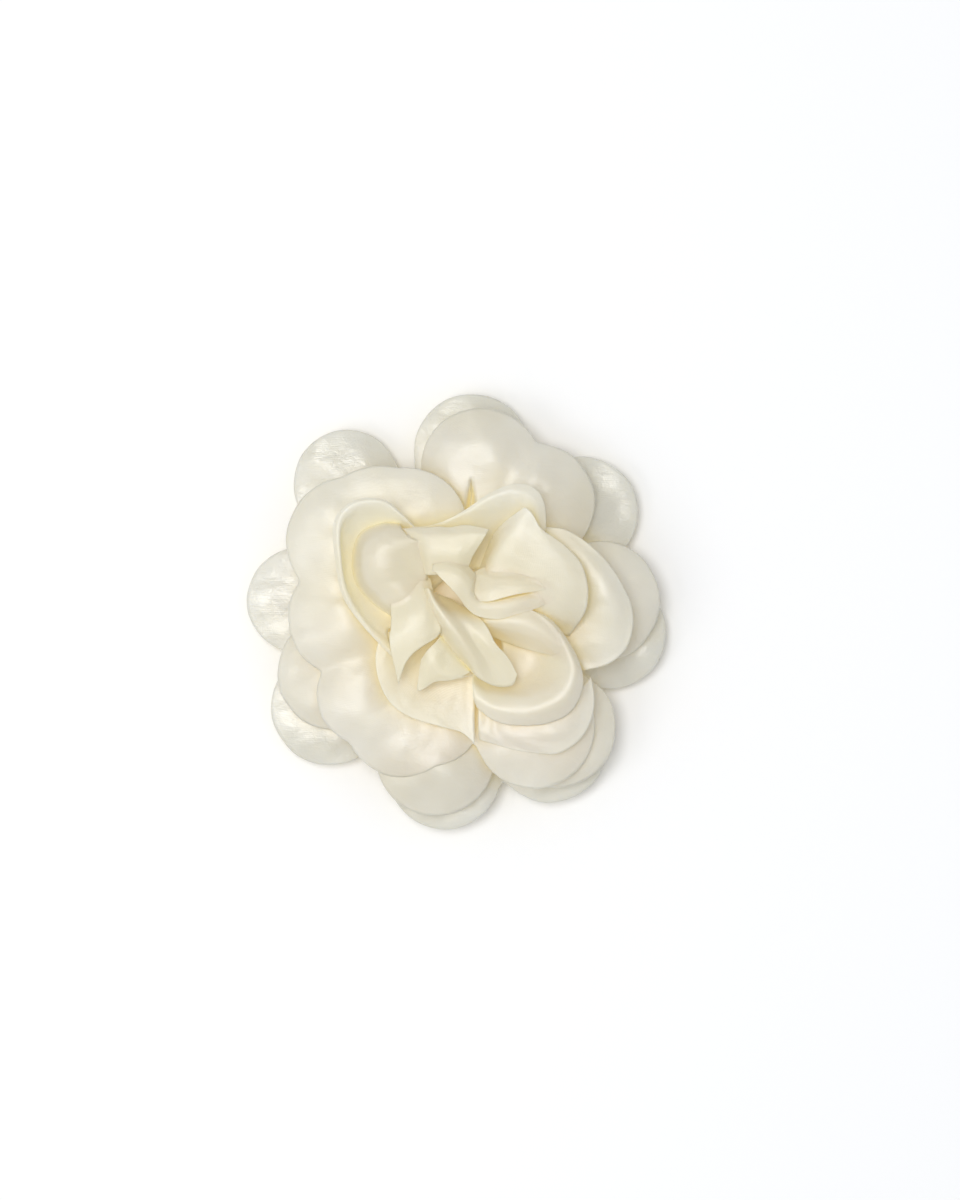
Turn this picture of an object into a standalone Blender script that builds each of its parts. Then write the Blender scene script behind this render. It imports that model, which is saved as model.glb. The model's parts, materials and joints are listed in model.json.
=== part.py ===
"""Flower hair clip: stitched satin petals on a felt disc, glued to a sprung metal clip.

The clip lies on its lower jaw with the flower facing up (+Z). The origin is on the
surface it lies on, under the middle of the flower. The clip's long axis is X, with
the nose towards +X and the thumb tab towards -X. The jaw turns about the hinge pin,
which lies along Y.
"""

import math

import bmesh
import bpy
from mathutils import Matrix, Vector

MM = 0.001

# Flower
FLOWER_WIDTH = 110 * MM  # along X
FLOWER_LENGTH = 114 * MM  # along Y
SATIN_THICKNESS = 0.7 * MM
STITCH_HOLE_RADIUS = 0.9 * MM
LOBES_PER_RING = 8
LOBE_COLUMNS = 10
RING_ROWS = 5

# Each ring of joined petals: lobe centre distance, lobe radius, azimuth of a lobe,
# height at the hub, rise and droop towards the rim, doming of each lobe
RINGS = {
    "petal_ring_1": (41.0 * MM, 16.0 * MM, -6, 12.7 * MM, 2.5 * MM, 13.0 * MM, 1.2 * MM),
    "petal_ring_2": (37.0 * MM, 14.5 * MM, 16, 14.0 * MM, 4.5 * MM, 8.0 * MM, 1.0 * MM),
    "petal_ring_3": (32.0 * MM, 12.6 * MM, -4, 15.4 * MM, 7.0 * MM, 3.0 * MM, 0.8 * MM),
}

# Separate petals lie on a bowl, each tucked under the next one round it. The bowl's
# section runs from its inner edge past a control point to its rim: (radius, height)
CURLED_BOWL = ((6.5 * MM, 18.8 * MM), (22 * MM, 20.3 * MM), (40 * MM, 30 * MM))
CURLED_PETALS = ((150, 1.0), (88, 0.9), (22, 0.95), (-46, 1.0), (-118, 0.85))
CURLED_SPAN = 96
CENTRE_BOWL = ((2.4 * MM, 19.5 * MM), (8.5 * MM, 24.4 * MM), (21 * MM, 32.5 * MM))
CENTRE_PETALS = (
    (105, 1.0), (60, 0.65), (15, 0.95), (-30, 0.8),
    (-75, 0.85), (-120, 0.9), (-165, 0.95), (150, 1.0),
)
CENTRE_SPAN = 84
TUCK = 1.6 * MM  # distance between two petals where one lies over the other
PETAL_COLUMNS = 9
PETAL_ROWS = 5
PETAL_POINT = 0.6  # how much shorter a petal is at its sides than in its middle

# Backing and stitching
FELT_RADIUS = 20 * MM
FELT_BOTTOM = 10.6 * MM
FELT_TOP = 12.0 * MM
GLUE_SIZE = (34 * MM, 10 * MM)
GLUE_BOTTOM = 9.7 * MM
GLUE_TOP = 10.3 * MM
KNOT_RADIUS = 1.5 * MM
KNOT_EDGE = 0.15 * MM
TOP_KNOT_RADIUS = 1.2 * MM
THREAD_RADIUS = 0.5 * MM
THREAD_TOP = 20 * MM

# Clip
SHEET = 0.8 * MM  # thickness of the stamped steel
GAP = 0.3 * MM
HINGE = Vector((-9 * MM, 0, 5.4 * MM))
PIN_RADIUS = 1.0 * MM
PIN_CLEARANCE = 0.08 * MM
PIN_HEAD = (1.7 * MM, 0.5 * MM)  # radius, thickness
PLATE_BOTTOM = 8.6 * MM
PLATE_HALF_WIDTH = 4.5 * MM
PLATE_REAR = -26 * MM
NOSE = 31 * MM
NOSE_TAPER = 0.9 * MM
TAPER_FROM = 15 * MM
CORNER_RADIUS = 2.6 * MM
EAR_RADIUS = 2.1 * MM
JAW_HALF_WIDTH = PLATE_HALF_WIDTH - SHEET - GAP
TAB_HALF_WIDTH = 4.5 * MM
TAB_FLARE = (-14 * MM, -19 * MM)  # where the jaw starts to widen, and where it is widest
# The jaw's sheet from the thumb tab to the nose, at the middle of its thickness: (x, z)
# in mm. Where this goes lower than half the sheet, the jaw is pressed flat.
JAW_LINE = (
    (-27, 0.4), (-20, 1.25), (-13.5, 2.1), (-9, 2.2), (-3, 1.15), (1.5, 0.35),
    (5, 0.2), (8.5, 0.3), (13, 1.1), (19, 3.2), (25, 6.0), (31, 7.85),
)
JAW_SAMPLES = 400
FLANGE_HEIGHT = 1.2 * MM
FLANGE_INSET = 0.05 * MM
FLANGE_REAR = -12.5 * MM
FLANGE_TOP = (15 * MM, 10 * MM, 5 * MM, 0, -4.5 * MM)  # where its top edge bends
FLANGE_FOOT = (-9, -6, -3, 0, 5, 10, 15, 19, 23, 26)  # where it follows the jaw, in mm
TOOTH_PITCH = 2 * MM
TOOTH_DEPTH = 1.0 * MM
TEETH_FROM = 20.5 * MM
TEETH = 4

# Spring
WIRE_RADIUS = 0.35 * MM
COIL_RADIUS = 1.9 * MM
COIL_TURNS = 3.5
COIL_PITCH = 0.85 * MM
COIL_STEPS = 16
UPPER_LEG_END = Vector((-21 * MM, 0, 7.9 * MM))
LOWER_LEG_END = Vector((-20 * MM, 0, 2.5 * MM))


# ---------------------------------------------------------------- scene and materials


def clear_scene():
    for obj in list(bpy.data.objects):
        bpy.data.objects.remove(obj, do_unlink=True)


def new_collection(name):
    collection = bpy.data.collections.new(name)
    bpy.context.scene.collection.children.link(collection)
    return collection


def new_material(name, colour, roughness, metallic=0.0):
    material = bpy.data.materials.new(name)
    material.use_nodes = True
    shader = material.node_tree.nodes["Principled BSDF"]
    shader.inputs["Base Color"].default_value = (*colour, 1.0)
    shader.inputs["Roughness"].default_value = roughness
    shader.inputs["Metallic"].default_value = metallic
    return material


def add_mesh(name, bm, material, collection):
    """A new object that holds the mesh, shaded smooth except at its sharp edges."""
    mesh = bpy.data.meshes.new(name)
    bm.to_mesh(mesh)
    bm.free()
    mesh.materials.append(material)
    mesh.shade_smooth()
    mesh.set_sharp_from_angle(angle=math.radians(40))
    obj = bpy.data.objects.new(name, mesh)
    collection.objects.link(obj)
    return obj


def add_cutter(name, bm):
    """A helper object, used only by Boolean modifiers."""
    cutter = add_mesh(name, bm, STEEL, CUTTERS)
    cutter.hide_render = True
    cutter.display_type = "WIRE"
    return cutter


def boolean(obj, operation, other):
    modifier = obj.modifiers.new(f"{operation.lower()} {other.name}", "BOOLEAN")
    modifier.operation = operation
    modifier.solver = "EXACT"
    modifier.object = other


def hang_on(obj, empty):
    """Parents the object to the empty, without moving it."""
    obj.parent = empty
    obj.matrix_parent_inverse = Matrix.Translation(empty.location).inverted()


# ---------------------------------------------------------------- shapes


def sheet(name, columns, rows, place, thickness, material, collection):
    """A thin sheet whose point (u, v), both 0 to 1, lies at place(u, v)."""
    bm = bmesh.new()
    bmesh.ops.create_grid(bm, x_segments=columns, y_segments=rows, size=0.5)
    for vert in bm.verts:
        vert.co = place(vert.co.x + 0.5, vert.co.y + 0.5)
    bmesh.ops.remove_doubles(bm, verts=bm.verts, dist=1e-6)
    obj = add_mesh(name, bm, material, collection)
    solidify = obj.modifiers.new("thickness", "SOLIDIFY")
    solidify.thickness = thickness
    solidify.offset = 0
    return obj


def turned(name, profile, steps, material, collection):
    """A body turned about Z from a profile of (radius, height), outer side downwards."""
    bm = bmesh.new()
    verts = [bm.verts.new((radius, 0, height)) for radius, height in profile]
    for first, second in zip(verts, verts[1:]):
        bm.edges.new((first, second))
    if profile[0][0] > 0:
        bm.edges.new((verts[-1], verts[0]))
    obj = add_mesh(name, bm, material, collection)
    screw = obj.modifiers.new("turn", "SCREW")
    screw.axis = "Z"
    screw.steps = steps
    screw.render_steps = steps
    screw.use_merge_vertices = True
    screw.merge_threshold = 1e-6
    return obj


def outline_solid(points, thickness, place):
    """A flat outline of (x, y) points as a solid plate, moved by the matrix place."""
    curve = bpy.data.curves.new("outline", "CURVE")
    curve.dimensions = "2D"
    curve.fill_mode = "BOTH"
    curve.extrude = thickness / 2
    spline = curve.splines.new("POLY")
    spline.points.add(len(points) - 1)
    for point, (x, y) in zip(spline.points, points):
        point.co = (x, y, 0, 1)
    spline.use_cyclic_u = True
    obj = bpy.data.objects.new("outline", curve)
    CUTTERS.objects.link(obj)
    graph = bpy.context.evaluated_depsgraph_get()
    mesh = bpy.data.meshes.new_from_object(obj.evaluated_get(graph))
    bpy.data.objects.remove(obj, do_unlink=True)
    bpy.data.curves.remove(curve)
    bm = bmesh.new()
    bm.from_mesh(mesh)
    bpy.data.meshes.remove(mesh)
    bmesh.ops.remove_doubles(bm, verts=bm.verts, dist=1e-6)
    bmesh.ops.transform(bm, matrix=place, verts=bm.verts)
    bmesh.ops.recalc_face_normals(bm, faces=bm.faces)
    return bm


def arc(centre, radius, start, end, steps):
    """Points along an arc, angles in degrees."""
    angles = [math.radians(start + (end - start) * i / steps) for i in range(steps + 1)]
    return [
        (centre[0] + radius * math.cos(a), centre[1] + radius * math.sin(a)) for a in angles
    ]


def cylinder(radius, length, steps, place):
    bm = bmesh.new()
    bmesh.ops.create_cone(
        bm, cap_ends=True, segments=steps, radius1=radius, radius2=radius, depth=length
    )
    bmesh.ops.transform(bm, matrix=place, verts=bm.verts)
    return bm


# Turns an outline drawn in (x, y) so that it stands in the XZ plane
UPRIGHT = Matrix.Rotation(math.radians(90), 4, "X")


# ---------------------------------------------------------------- flower


def lobe_reach(angle, distance, radius, azimuth):
    """How far a ring of round lobes reaches from the middle, at an angle in degrees."""
    pitch = 360 / LOBES_PER_RING
    off = math.radians((angle - azimuth + pitch / 2) % pitch - pitch / 2)
    chord = max(radius**2 - (distance * math.sin(off)) ** 2, 0)
    return distance * math.cos(off) + math.sqrt(chord)


def petal_ring(name, material):
    """One flat-cut disc of joined round petals, drooping outwards from its stitched hub."""
    distance, radius, azimuth, hub, rise, droop, dome = RINGS[name]
    squeeze = FLOWER_WIDTH / FLOWER_LENGTH

    def place(u, v):
        angle = 360 * u
        reach = lobe_reach(angle, distance, radius, azimuth)
        r = STITCH_HOLE_RADIUS + (reach - STITCH_HOLE_RADIUS) * v
        q = r / (distance + radius)
        lobe = math.cos(math.radians(LOBES_PER_RING * (angle - azimuth)))
        z = hub + rise * q - droop * q**3 + dome * lobe * q**2
        turn = math.radians(angle)
        return Vector((squeeze * r * math.cos(turn), r * math.sin(turn), z))

    columns = LOBES_PER_RING * LOBE_COLUMNS
    return sheet(name, columns, RING_ROWS, place, SATIN_THICKNESS, material, PARTS)


def bowl_petal(name, bowl, azimuth, reach, span, pitch, material):
    """A petal on a bowl round the Z axis, with one side over and one side under its neighbour."""
    inner, control, rim = (Vector(point) for point in bowl)

    def place(u, v):
        side = 2 * u - 1
        along = v * reach * math.sqrt(1 - PETAL_POINT * side**2)
        section = (
            (1 - along) ** 2 * inner
            + 2 * along * (1 - along) * control
            + along**2 * rim
        )
        slope = (1 - along) * (control - inner) + along * (rim - control)
        normal = Vector((-slope.y, slope.x)).normalized()
        local = side * span / 2
        section = section + normal * TUCK * local / pitch
        turn = math.radians(azimuth + local)
        r = section.x
        return Vector((r * math.cos(turn), r * math.sin(turn), section.y))

    return sheet(name, PETAL_COLUMNS, PETAL_ROWS, place, SATIN_THICKNESS, material, PARTS)


def felt_backing():
    profile = (
        (STITCH_HOLE_RADIUS, FELT_TOP),
        (FELT_RADIUS, FELT_TOP),
        (FELT_RADIUS, FELT_BOTTOM),
        (STITCH_HOLE_RADIUS, FELT_BOTTOM),
    )
    return turned("felt_backing", profile, 40, FELT, PARTS)


def glue_pad():
    """A pressed bead of glue with rounded ends, and a hole round the knot of the thread."""
    length, width = GLUE_SIZE
    straight = (length - width) / 2
    half = width / 2
    right = arc((straight, 0), half, -90, 90, 8)
    left = arc((-straight, 0), half, 90, 270, 8)
    middle = Matrix.Translation((0, 0, (GLUE_BOTTOM + GLUE_TOP) / 2))
    thick = GLUE_TOP - GLUE_BOTTOM
    pad = add_mesh("glue_pad", outline_solid(right + left, thick, middle), GLUE, PARTS)
    hole = cylinder(KNOT_RADIUS + GAP, 4 * thick, 24, middle)
    boolean(pad, "DIFFERENCE", add_cutter("knot_hole", hole))
    return pad


def centre_thread():
    """The thread that ties every layer together, with a flat knot below and a round one above."""
    low, high = GLUE_BOTTOM + 0.05 * MM, GLUE_TOP
    knot = arc((0, THREAD_TOP - TOP_KNOT_RADIUS), TOP_KNOT_RADIUS, 90, -60, 6)
    profile = [(0, THREAD_TOP)] + knot[1:]
    profile += [(THREAD_RADIUS, THREAD_TOP - 3 * TOP_KNOT_RADIUS), (THREAD_RADIUS, high)]
    profile += [(KNOT_RADIUS, high - KNOT_EDGE), (KNOT_RADIUS, low + KNOT_EDGE), (0, low)]
    return turned("centre_thread", profile, 16, THREAD, PARTS)


# ---------------------------------------------------------------- clip


def crowded(u):
    """Spreads 0 to 1 so that a strip's columns crowd towards its rounded ends."""
    return 0.3 * u + 0.7 * (0.5 - 0.5 * math.cos(math.pi * u))


def rounded(width, x, start, end):
    """The half width of a strip at x, less what its rounded corners take off."""
    off = max(1 - min(x - start, end - x) / CORNER_RADIUS, 0)
    return width - CORNER_RADIUS * (1 - math.sqrt(max(1 - off**2, 0)))


def jaw_line(t):
    """The point (x, z) at t, 0 to 1, on the smooth line through JAW_LINE."""
    points = [Vector(point) * MM for point in JAW_LINE]
    count = len(points) - 1
    at = min(int(t * count), count - 1)
    f = t * count - at
    before = points[max(at - 1, 0)]
    first, second = points[at], points[at + 1]
    after = points[min(at + 2, count)]
    x, z = 0.5 * (
        2 * first
        + (second - before) * f
        + (2 * before - 5 * first + 4 * second - after) * f**2
        + (3 * first - before - 3 * second + after) * f**3
    )
    return Vector((x, max(z, SHEET / 2)))


def jaw_height(x):
    """Height of the jaw's line at x."""
    near = min(range(JAW_SAMPLES + 1), key=lambda i: abs(jaw_line(i / JAW_SAMPLES).x - x))
    return jaw_line(near / JAW_SAMPLES).y


def jaw_half_width(x):
    """The jaw flares into the thumb tab at the rear."""
    start, end = TAB_FLARE
    flare = min(max((x - start) / (end - start), 0), 1)
    width = JAW_HALF_WIDTH + (TAB_HALF_WIDTH - JAW_HALF_WIDTH) * flare**2 * (3 - 2 * flare)
    return rounded(width, x, JAW_LINE[0][0] * MM, JAW_LINE[-1][0] * MM)


def plate_half_width(x):
    """The plate tapers a little towards the nose."""
    taper = min(max((x - TAPER_FROM) / (NOSE - TAPER_FROM), 0), 1)
    return rounded(PLATE_HALF_WIDTH - NOSE_TAPER * taper, x, PLATE_REAR, NOSE)


def pin_hole(name):
    turn = Matrix.Translation(HINGE) @ UPRIGHT
    return add_cutter(name, cylinder(PIN_RADIUS + PIN_CLEARANCE, 20 * MM, 32, turn))


def side_walls(points, middle):
    """Two upright walls of one outline of (x, z), at y = middle and -middle."""
    walls = []
    for side in (-1, 1):
        place = Matrix.Translation((0, side * middle, 0)) @ UPRIGHT
        walls.append(outline_solid(points, SHEET, place))
    return walls


def clip_top_plate():
    """The flat plate that carries the flower, with two ears bent down for the pin."""
    root = PLATE_BOTTOM + SHEET / 2

    def place(u, v):
        x = PLATE_REAR + (NOSE - PLATE_REAR) * crowded(u)
        return Vector((x, (2 * v - 1) * plate_half_width(x), root))

    plate = sheet("clip_top_plate", 34, 4, place, SHEET, STEEL, PARTS)
    ear = arc((HINGE.x, HINGE.z), EAR_RADIUS, 200, 340, 10)
    ear += [(HINGE.x + 3 * MM, root), (HINGE.x - 3 * MM, root)]
    middle = PLATE_HALF_WIDTH - SHEET / 2 - FLANGE_INSET
    for number, wall in enumerate(side_walls(ear, middle), 1):
        boolean(plate, "UNION", add_cutter(f"plate_ear_{number}", wall))
    boolean(plate, "DIFFERENCE", pin_hole("plate_pin_hole"))
    return plate


def clip_lower_jaw():
    """The bent jaw with its thumb tab, low side flanges, hinge ears and teeth by the nose."""

    def place(u, v):
        point = jaw_line(crowded(u))
        return Vector((point.x, (2 * v - 1) * jaw_half_width(point.x), point.y))

    jaw = sheet("clip_lower_jaw", 44, 4, place, SHEET, STEEL, PARTS)

    teeth_to = TEETH_FROM + TEETH * TOOTH_PITCH
    tip = PLATE_BOTTOM - GAP
    top = [(teeth_to + 0.5 * MM, jaw_height(teeth_to))]
    for tooth in reversed(range(TEETH)):
        back = TEETH_FROM + tooth * TOOTH_PITCH
        top += [(back + 0.7 * TOOTH_PITCH, tip), (back, tip - TOOTH_DEPTH)]
    for x in FLANGE_TOP:
        top.append((x, jaw_height(x) + FLANGE_HEIGHT))
    top += arc((HINGE.x, HINGE.z), EAR_RADIUS, 0, 180, 12)
    top.append((FLANGE_REAR, jaw_height(FLANGE_REAR)))
    bottom = [(x * MM, jaw_height(x * MM)) for x in FLANGE_FOOT]
    middle = JAW_HALF_WIDTH - SHEET / 2 - FLANGE_INSET
    cutters = [
        add_cutter(f"jaw_wall_{number}", wall)
        for number, wall in enumerate(side_walls(top + bottom, middle), 1)
    ]
    for wall in cutters:
        boolean(jaw, "UNION", wall)
    cutters.append(pin_hole("jaw_pin_hole"))
    boolean(jaw, "DIFFERENCE", cutters[-1])
    for piece in [jaw] + cutters:
        hang_on(piece, hinge)
    return jaw


def hinge_pin():
    """A rivet through all four ears, with a head outside each of the plate's ears."""
    radius, thickness = PIN_HEAD
    inner = PLATE_HALF_WIDTH + GAP
    outer = inner + thickness
    half = [(0, outer), (0.6 * radius, outer), (radius, outer - 0.5 * thickness)]
    half += [(radius, inner), (PIN_RADIUS, inner)]
    profile = half + [(r, -h) for r, h in reversed(half)]
    pin = turned("hinge_pin", profile, 32, STEEL, PARTS)
    pin.rotation_euler.x = math.radians(90)
    pin.location = HINGE
    return pin


def torsion_spring():
    """A coil round the pin, with one leg under the plate and one over the thumb tab."""
    width = COIL_TURNS * COIL_PITCH
    steps = round(COIL_TURNS * COIL_STEPS)
    points = [UPPER_LEG_END - Vector((0, width / 2, 0))]
    for step in range(steps + 1):
        turned_by = math.radians(90 - 360 * COIL_TURNS * step / steps)
        y = width * (step / steps - 0.5)
        ring = Vector((COIL_RADIUS * math.cos(turned_by), y, COIL_RADIUS * math.sin(turned_by)))
        points.append(HINGE + ring)
    points.append(LOWER_LEG_END + Vector((0, width / 2, 0)))
    curve = bpy.data.curves.new("torsion_spring", "CURVE")
    curve.dimensions = "3D"
    curve.bevel_depth = WIRE_RADIUS
    curve.bevel_resolution = 2
    curve.use_fill_caps = True
    spline = curve.splines.new("POLY")
    spline.points.add(len(points) - 1)
    for point, co in zip(spline.points, points):
        point.co = (*co, 1)
    curve.materials.append(SPRING_STEEL)
    spring = bpy.data.objects.new("torsion_spring", curve)
    PARTS.objects.link(spring)
    return spring


# ---------------------------------------------------------------- assembly


clear_scene()
PARTS = new_collection("flower_hair_clip")
CUTTERS = new_collection("cutters")
OUTER_SATIN = new_material("outer_satin", (0.86, 0.85, 0.79), 0.38)
PETAL_SATIN = new_material("petal_satin", (0.91, 0.87, 0.75), 0.42)
FELT = new_material("felt", (0.88, 0.86, 0.80), 0.95)
GLUE = new_material("glue", (0.82, 0.79, 0.70), 0.35)
THREAD = new_material("thread", (0.90, 0.87, 0.78), 0.7)
STEEL = new_material("clip_steel", (0.62, 0.62, 0.63), 0.32, 1.0)
SPRING_STEEL = new_material("spring_steel", (0.5, 0.5, 0.52), 0.28, 1.0)

flower = bpy.data.objects.new("flower", None)
hinge = bpy.data.objects.new("hinge", None)
hinge.location = HINGE
for empty in (flower, hinge):
    PARTS.objects.link(empty)

for ring in RINGS:
    satin = OUTER_SATIN if ring == "petal_ring_1" else PETAL_SATIN
    hang_on(petal_ring(ring, satin), flower)
for number, (azimuth, reach) in enumerate(CURLED_PETALS, 1):
    petal = bowl_petal(
        f"curled_petal_{number}", CURLED_BOWL, azimuth, reach, CURLED_SPAN,
        360 / len(CURLED_PETALS), PETAL_SATIN,
    )
    hang_on(petal, flower)
for number, (azimuth, reach) in enumerate(CENTRE_PETALS, 1):
    petal = bowl_petal(
        f"centre_petal_{number}", CENTRE_BOWL, azimuth, reach, CENTRE_SPAN,
        360 / len(CENTRE_PETALS), PETAL_SATIN,
    )
    hang_on(petal, flower)
for piece in (felt_backing(), glue_pad(), centre_thread(), clip_top_plate()):
    hang_on(piece, flower)
for piece in (hinge_pin(), torsion_spring()):
    hang_on(piece, flower)
clip_lower_jaw()
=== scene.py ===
"""The looks of the flower hair clip: satin petals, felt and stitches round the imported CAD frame.

The lengths of the sheets and the wire are in millimetres, in the row frame, and are turned
into metres as the meshes are made. Those of the materials, the lights and the camera are in
metres. The flower faces up, +Z, and its clip lies along X underneath.
"""

import json
import math

import bpy
import numpy as np
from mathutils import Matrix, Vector, noise
from mathutils.bvhtree import BVHTree


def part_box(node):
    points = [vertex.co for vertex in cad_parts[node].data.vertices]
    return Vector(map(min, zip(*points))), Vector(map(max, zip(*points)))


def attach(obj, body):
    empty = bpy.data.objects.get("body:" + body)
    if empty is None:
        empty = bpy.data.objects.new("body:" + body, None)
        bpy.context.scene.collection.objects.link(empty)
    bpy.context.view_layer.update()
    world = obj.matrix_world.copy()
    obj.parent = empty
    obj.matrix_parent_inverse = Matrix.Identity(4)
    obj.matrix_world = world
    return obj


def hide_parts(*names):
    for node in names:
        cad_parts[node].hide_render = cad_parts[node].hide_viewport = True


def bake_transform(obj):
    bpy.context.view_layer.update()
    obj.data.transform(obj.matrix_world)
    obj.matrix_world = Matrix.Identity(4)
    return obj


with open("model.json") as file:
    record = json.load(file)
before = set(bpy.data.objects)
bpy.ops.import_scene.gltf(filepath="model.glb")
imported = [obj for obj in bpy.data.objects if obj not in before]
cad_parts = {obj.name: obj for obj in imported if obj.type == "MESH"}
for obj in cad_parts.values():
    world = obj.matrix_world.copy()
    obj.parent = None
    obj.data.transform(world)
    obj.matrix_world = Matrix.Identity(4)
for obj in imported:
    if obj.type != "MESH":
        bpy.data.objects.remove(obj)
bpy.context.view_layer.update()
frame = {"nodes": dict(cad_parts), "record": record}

MM = 0.001
ABOVE_ALL = 90  # a height over the whole flower
CLOTH = 0.18  # thickness of a petal with its sealed edge
CLEARANCE = 0.36  # height kept between the middle surfaces of two sheets
TUCK_DEPTH = 0.22  # how far a tucked edge goes below the sheet it is tucked into
TUCK_LIMIT = 1.3  # the most a tucked edge is drawn down
TUCK_REACH = 0.3  # how far in from its edge a tuck goes, as a share of the sheet
LIFT_PASSES = 24  # how many times a lift is spread to its neighbours
FLOOR_GAP = 0.15  # the floor lies this far under the jaw's pressed middle
FOLD_FOOT = 21.5  # the folds of the single petals stand up from this height
FOLD_STRETCH = 1.25  # how much taller than drawn those folds stand
NOISE_STEP = (17.3, 5.1, 9.7)  # takes each seed to a part of the noise of its own


# ---------------------------------------------------------------- curves and grids


def through(points, at):
    """Points at the places 0 to 1 on a smooth curve through the given points."""
    points = np.array(points, float)
    if len(points) == 2:
        return points[0] + np.outer(at, points[1] - points[0])
    padded = np.vstack([2 * points[0] - points[1], points, 2 * points[-1] - points[-2]])
    spot = np.clip(np.array(at), 0, 1) * (len(points) - 1)
    first = np.minimum(spot.astype(int), len(points) - 2)
    f = (spot - first)[:, None]
    a, b, c, d = (padded[first + k] for k in range(4))
    return 0.5 * (
        2 * b
        + (c - a) * f
        + (2 * a - 5 * b + 4 * c - d) * f**2
        + (3 * b - a - 3 * c + d) * f**3
    )


def normals_of(grid, closed=False):
    """Unit normals of a grid of points, shape (rows, columns, 3)."""
    if closed:
        wrapped = np.concatenate([grid[:, -1:], grid, grid[:, :1]], axis=1)
        across = np.gradient(wrapped, axis=1)[:, 1:-1]
    else:
        across = np.gradient(grid, axis=1)
    normal = np.cross(across, np.gradient(grid, axis=0))
    return normal / np.maximum(np.linalg.norm(normal, axis=2, keepdims=True), 1e-9)


def noise_grid(coords, seed):
    """Smooth noise, -1 to 1, at a grid of 3-D coordinates."""
    shape = coords.shape[:2]
    shift = Vector([seed * step for step in NOISE_STEP])
    flat = [noise.noise(Vector(p) + shift) for p in coords.reshape(-1, 3)]
    return np.array(flat).reshape(shape)


def blurred(values, closed):
    """The grid of numbers with each one averaged with its neighbours."""
    padded = np.pad(values, ((1, 1), (0, 0)), mode="edge")
    padded = np.pad(padded, ((0, 0), (1, 1)), mode="wrap" if closed else "edge")
    rows = (padded[:-2] + 2 * padded[1:-1] + padded[2:]) / 4
    return (rows[:, :-2] + 2 * rows[:, 1:-1] + rows[:, 2:]) / 4


# ---------------------------------------------------------------- cloth sheets

pile = {"points": [], "faces": []}  # every sheet laid so far, for the next one to lie on


def grid_faces(rows, columns, closed):
    """The quads of a grid of points, counted row by row. A closed one joins up along its rows."""
    faces = []
    for row in range(rows - 1):
        for column in range(columns if closed else columns - 1):
            following = (column + 1) % columns
            faces.append(
                (
                    row * columns + column,
                    row * columns + following,
                    (row + 1) * columns + following,
                    (row + 1) * columns + column,
                )
            )
    return faces


def edge_share(shape, edges, reach):
    """How much each place of a grid belongs to the named edges: 1 on them, 0 beyond reach."""
    rows, columns = shape
    v, u = np.meshgrid(np.linspace(0, 1, rows), np.linspace(0, 1, columns), indexing="ij")
    away = {"base": v, "rim": 1 - v, "start": u, "end": 1 - u}
    share = np.zeros(shape)
    for edge in edges:
        near = np.clip(1 - away[edge] / reach, 0, 1)
        share = np.maximum(share, near * near * (3 - 2 * near))
    return share


def lay_on_pile(grid, closed, tucked=(), reach=TUCK_REACH):
    """Lifts a sheet just enough to clear the sheets under it, spreading each lift smoothly.
    The edges named in tucked are drawn down between those sheets instead."""
    if pile["points"]:
        tree = BVHTree.FromPolygons(pile["points"], pile["faces"])
        under = np.full(grid.shape[:2], -np.inf)
        for at in np.ndindex(under.shape):
            x, y = grid[at][:2]
            hit = tree.ray_cast(Vector((x, y, ABOVE_ALL)), Vector((0, 0, -1)))[0]
            if hit is not None:
                under[at] = hit.z
        share = edge_share(under.shape, tucked, reach)
        need = np.maximum(under + CLEARANCE - grid[:, :, 2], 0) * (1 - share)
        lift = need
        for _ in range(LIFT_PASSES):
            lift = np.maximum(need, blurred(lift, closed))
        grid = grid.copy()
        free = grid[:, :, 2] + blurred(lift, closed)
        drop = np.where(np.isfinite(under), free - (under - TUCK_DEPTH), 0)
        down = free - np.clip(drop, 0, TUCK_LIMIT)
        grid[:, :, 2] = free * (1 - share) + down * share
    start = len(pile["points"])
    rows, columns = grid.shape[:2]
    pile["points"] += [Vector(p) for p in grid.reshape(-1, 3)]
    for face in grid_faces(rows, columns, closed):
        pile["faces"].append(tuple(start + k for k in face))
    return grid


def cloth_object(name, grid, flat, material, closed=False):
    """A thin sheet object from a grid of points. Its UV map is in millimetres of cloth: flat
    gives the place on the cloth for a place in the grid, as shares of its rows and columns."""
    rows, columns = grid.shape[:2]
    mesh = bpy.data.meshes.new(name)
    mesh.from_pydata(
        (grid.reshape(-1, 3) * MM).tolist(), [], grid_faces(rows, columns, closed)
    )
    layer = mesh.uv_layers.new(name="cloth")
    for polygon in mesh.polygons:
        for loop in polygon.loop_indices:
            row, column = divmod(mesh.loops[loop].vertex_index, columns)
            layer.data[loop].uv = flat(row / (rows - 1), column / columns)
    mesh.materials.append(material)
    obj = bpy.data.objects.new(name, mesh)
    bpy.context.scene.collection.objects.link(obj)
    solidify = obj.modifiers.new("thickness", "SOLIDIFY")
    solidify.thickness = CLOTH * MM
    solidify.offset = 0
    mesh.shade_smooth()
    return obj


def declare(obj, node):
    """Puts the sheet on the flower's body and hides the CAD node that it stands for."""
    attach(obj, "flower")
    if node:
        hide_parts(node)


# ---------------------------------------------------------------- materials


def new_material(name):
    """A material with its node tree and its Principled BSDF."""
    material = bpy.data.materials.new(name)
    material.use_nodes = True
    return material, material.node_tree, material.node_tree.nodes["Principled BSDF"]


def set_values(node, values):
    """Values for the node's unlinked sockets."""
    for key, value in values.items():
        node.inputs[key].default_value = value


def add_node(tree, kind, values=None, **settings):
    """A node with the given settings and values."""
    node = tree.nodes.new(kind)
    for key, value in settings.items():
        setattr(node, key, value)
    set_values(node, values or {})
    return node


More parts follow.
